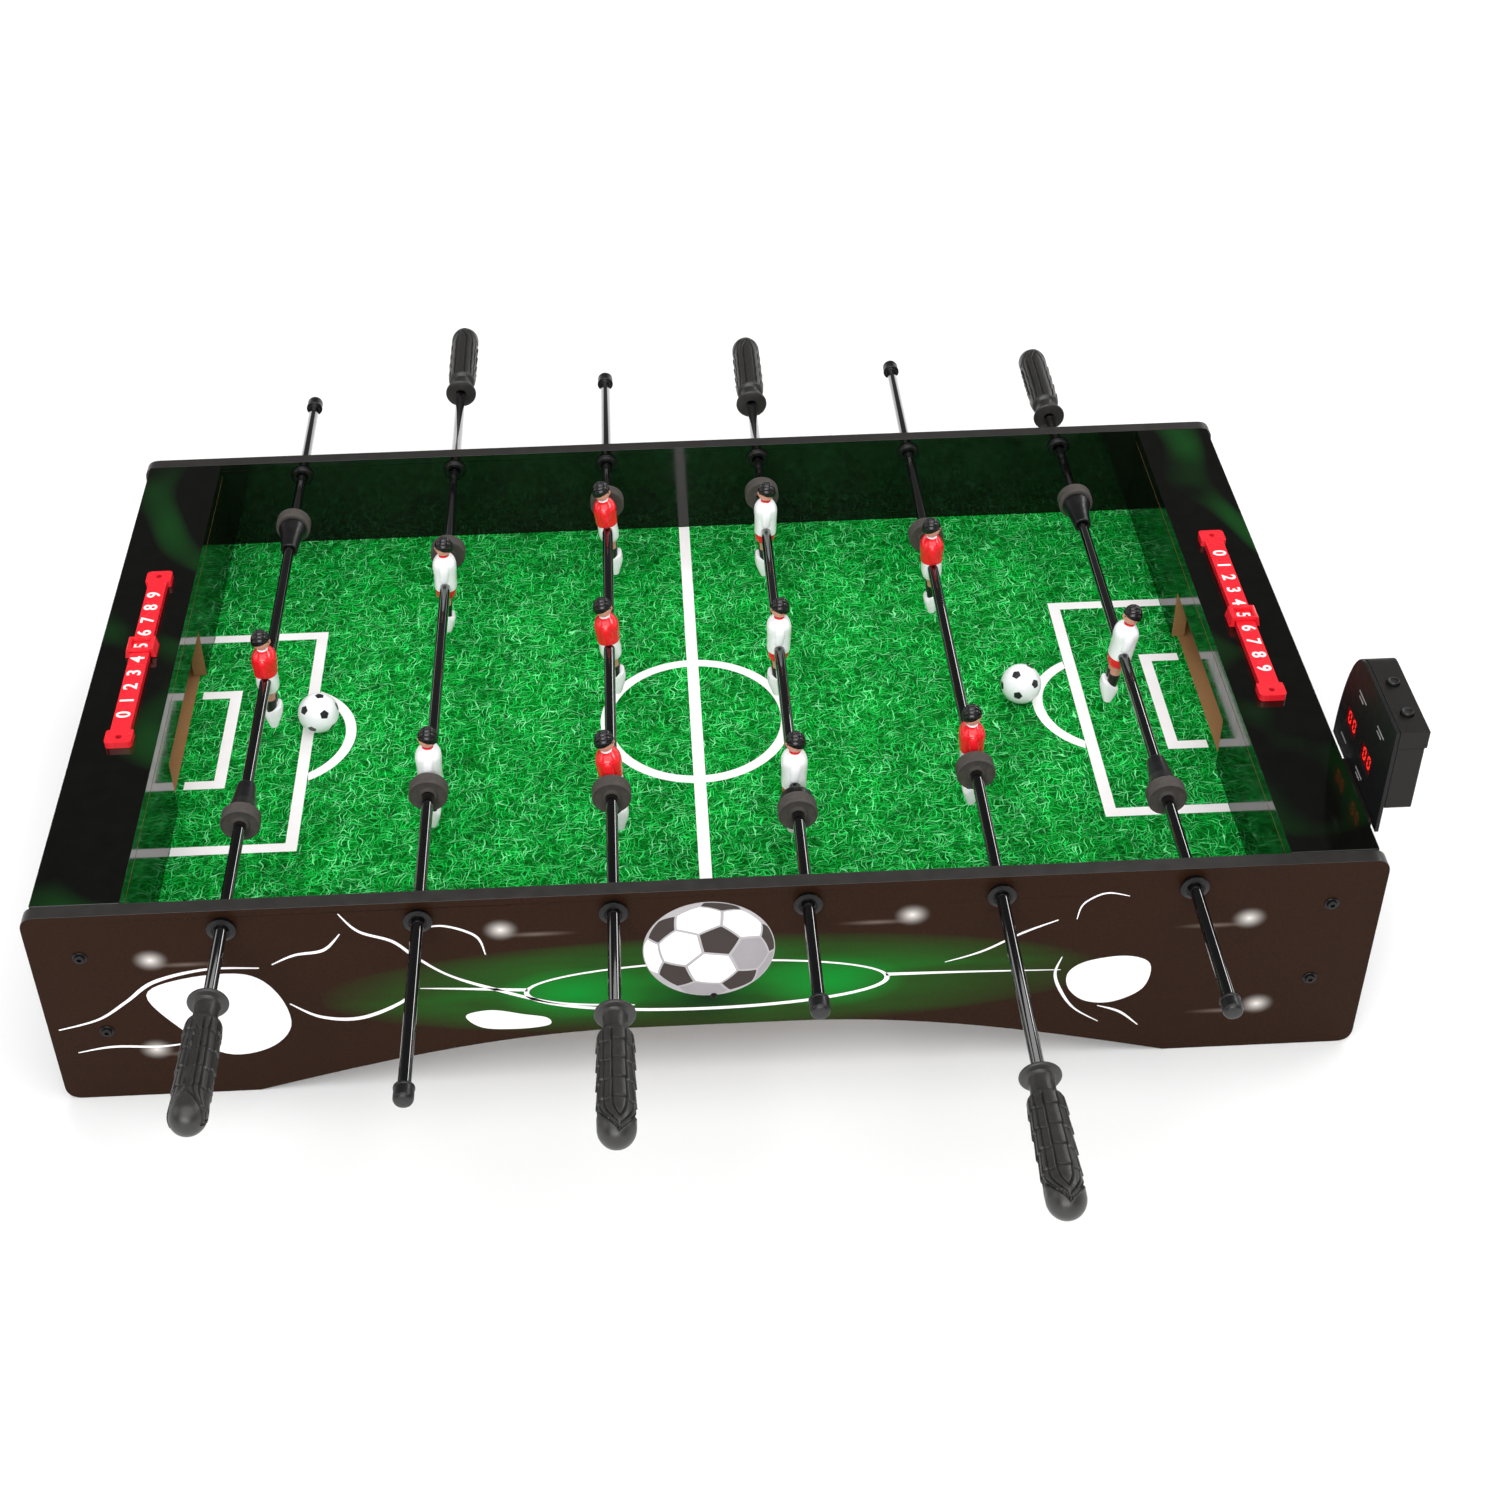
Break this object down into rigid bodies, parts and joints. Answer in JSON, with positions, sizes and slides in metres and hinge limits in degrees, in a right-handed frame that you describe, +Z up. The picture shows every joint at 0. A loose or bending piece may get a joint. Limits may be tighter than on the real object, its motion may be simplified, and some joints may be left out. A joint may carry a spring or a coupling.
{
  "type": "foosball table",
  "caption": "Tabletop football table: arched wooden cabinet, printed pitch, sliding and spinning rods with moulded men, score counters and a clip-on electronic scorer.",
  "frame": {"origin": "centre of the bounding box at the floor plane the feet stand on", "axes": "+X along the table towards the white keeper's goal, +Y along the rods towards the back player, +Z up"},
  "size_m": [1.039, 1.147, 0.293],
  "materials": {
    "apron_laminate": "satin printed laminate on fibreboard, dark brown",
    "panel_laminate": "gloss black laminate on fibreboard",
    "pitch_print": "gloss printed grass sheet on fibreboard",
    "rod_enamel": "gloss black enamel on steel tube",
    "grip_plastic": "matte moulded black",
    "bumper_rubber": "dull dark grey",
    "collar_plastic": "semi-gloss moulded black",
    "red_figure": "painted moulded figure, red shirt",
    "white_figure": "painted moulded figure, white shirt",
    "ball_plastic": "white with small dark panels",
    "counter_plastic": "bright red moulding with white digits",
    "scorer_plastic": "satin black moulded case",
    "scorer_face": "smoked black panel"
  },
  "bodies": {
    "cabinet": {"front_apron": "apron_laminate", "back_apron": "apron_laminate", "left_goal_wall": "panel_laminate", "right_goal_wall": "panel_laminate", "left_end_panel": "panel_laminate", "right_end_panel": "panel_laminate", "left_deck": "panel_laminate", "right_deck": "panel_laminate", "pitch_board": "pitch_print", "left_score_rail": "counter_plastic", "right_score_rail": "counter_plastic", "scorer_bracket": "scorer_plastic", "scorer_face": "scorer_face", "scorer_housing": "scorer_plastic"},
    "left_score_slider": {"left_score_slider": "counter_plastic"},
    "right_score_slider": {"right_score_slider": "counter_plastic"},
    "scorer_power_button": {"scorer_power_button": "scorer_plastic"},
    "scorer_reset_button": {"scorer_reset_button": "scorer_plastic"},
    "ball_left": {"ball_left": "ball_plastic"},
    "ball_right": {"ball_right": "ball_plastic"},
    "rod_1_carriage": {"rod_1_front_bumper": "bumper_rubber", "rod_1_back_bumper": "bumper_rubber"},
    "rod_1": {"rod_1": "rod_enamel", "handle_1": "grip_plastic", "rod_1_keeper": "red_figure", "rod_1_front_stop_collar": "collar_plastic", "rod_1_back_stop_collar": "collar_plastic"},
    "rod_2_carriage": {"rod_2_front_bumper": "bumper_rubber", "rod_2_back_bumper": "bumper_rubber"},
    "rod_2": {"rod_2": "rod_enamel", "handle_2": "grip_plastic", "rod_2_front_man": "white_figure", "rod_2_back_man": "white_figure"},
    "rod_3_carriage": {"rod_3_front_bumper": "bumper_rubber", "rod_3_back_bumper": "bumper_rubber"},
    "rod_3": {"rod_3": "rod_enamel", "handle_3": "grip_plastic", "rod_3_front_man": "red_figure", "rod_3_middle_man": "red_figure", "rod_3_back_man": "red_figure"},
    "rod_4_carriage": {"rod_4_front_bumper": "bumper_rubber", "rod_4_back_bumper": "bumper_rubber"},
    "rod_4": {"rod_4": "rod_enamel", "handle_4": "grip_plastic", "rod_4_front_man": "white_figure", "rod_4_middle_man": "white_figure", "rod_4_back_man": "white_figure"},
    "rod_5_carriage": {"rod_5_front_bumper": "bumper_rubber", "rod_5_back_bumper": "bumper_rubber"},
    "rod_5": {"rod_5": "rod_enamel", "handle_5": "grip_plastic", "rod_5_front_man": "red_figure", "rod_5_back_man": "red_figure"},
    "rod_6_carriage": {"rod_6_front_bumper": "bumper_rubber", "rod_6_back_bumper": "bumper_rubber"},
    "rod_6": {"rod_6": "rod_enamel", "handle_6": "grip_plastic", "rod_6_keeper": "white_figure", "rod_6_front_stop_collar": "collar_plastic", "rod_6_back_stop_collar": "collar_plastic"}
  },
  "joints": [
    {"name": "rod_1_slide", "type": "slide", "parent": "cabinet", "child": "rod_1_carriage", "axis": [0, 1, 0], "range_m": [-0.086, 0.068]},
    {"name": "rod_1_spin", "type": "hinge", "parent": "rod_1_carriage", "child": "rod_1", "pos_m": [-0.3722, 0.0265, 0.1823], "axis": [0, 1, 0], "continuous": true},
    {"name": "rod_2_slide", "type": "slide", "parent": "cabinet", "child": "rod_2_carriage", "axis": [0, 1, 0], "range_m": [-0.111, 0.119]},
    {"name": "rod_2_spin", "type": "hinge", "parent": "rod_2_carriage", "child": "rod_2", "pos_m": [-0.2279, 0.0265, 0.1823], "axis": [0, 1, 0], "continuous": true},
    {"name": "rod_3_slide", "type": "slide", "parent": "cabinet", "child": "rod_3_carriage", "axis": [0, 1, 0], "range_m": [-0.1, 0.05]},
    {"name": "rod_3_spin", "type": "hinge", "parent": "rod_3_carriage", "child": "rod_3", "pos_m": [-0.0836, 0.0265, 0.1823], "axis": [0, 1, 0], "continuous": true},
    {"name": "rod_4_slide", "type": "slide", "parent": "cabinet", "child": "rod_4_carriage", "axis": [0, 1, 0], "range_m": [-0.072, 0.046]},
    {"name": "rod_4_spin", "type": "hinge", "parent": "rod_4_carriage", "child": "rod_4", "pos_m": [0.0607, 0.0265, 0.1823], "axis": [0, 1, 0], "continuous": true},
    {"name": "rod_5_slide", "type": "slide", "parent": "cabinet", "child": "rod_5_carriage", "axis": [0, 1, 0], "range_m": [-0.11, 0.121]},
    {"name": "rod_5_spin", "type": "hinge", "parent": "rod_5_carriage", "child": "rod_5", "pos_m": [0.205, 0.0265, 0.1823], "axis": [0, 1, 0], "continuous": true},
    {"name": "rod_6_slide", "type": "slide", "parent": "cabinet", "child": "rod_6_carriage", "axis": [0, 1, 0], "range_m": [-0.033, 0.076]},
    {"name": "rod_6_spin", "type": "hinge", "parent": "rod_6_carriage", "child": "rod_6", "pos_m": [0.3493, 0.0265, 0.1823], "axis": [0, 1, 0], "continuous": true},
    {"name": "left_score_slide", "type": "slide", "parent": "cabinet", "child": "left_score_slider", "axis": [0, 1, 0], "range_m": [-0.09, 0.072]},
    {"name": "right_score_slide", "type": "slide", "parent": "cabinet", "child": "right_score_slider", "axis": [0, 1, 0], "range_m": [-0.072, 0.09]},
    {"name": "power_button_press", "type": "slide", "parent": "cabinet", "child": "scorer_power_button", "axis": [0, 0, -1], "range_m": [0, 0.0015], "stiffness_N_per_m": 400, "springref_m": -0.001},
    {"name": "reset_button_press", "type": "slide", "parent": "cabinet", "child": "scorer_reset_button", "axis": [0, 0, -1], "range_m": [0, 0.0015], "stiffness_N_per_m": 400, "springref_m": -0.001},
    {"name": "ball_left_lift", "type": "slide", "parent": "cabinet", "child": "ball_left", "axis": [0, 0, 1], "range_m": [0, 0.2]},
    {"name": "ball_right_lift", "type": "slide", "parent": "cabinet", "child": "ball_right", "axis": [0, 0, 1], "range_m": [0, 0.2]}
  ]
}
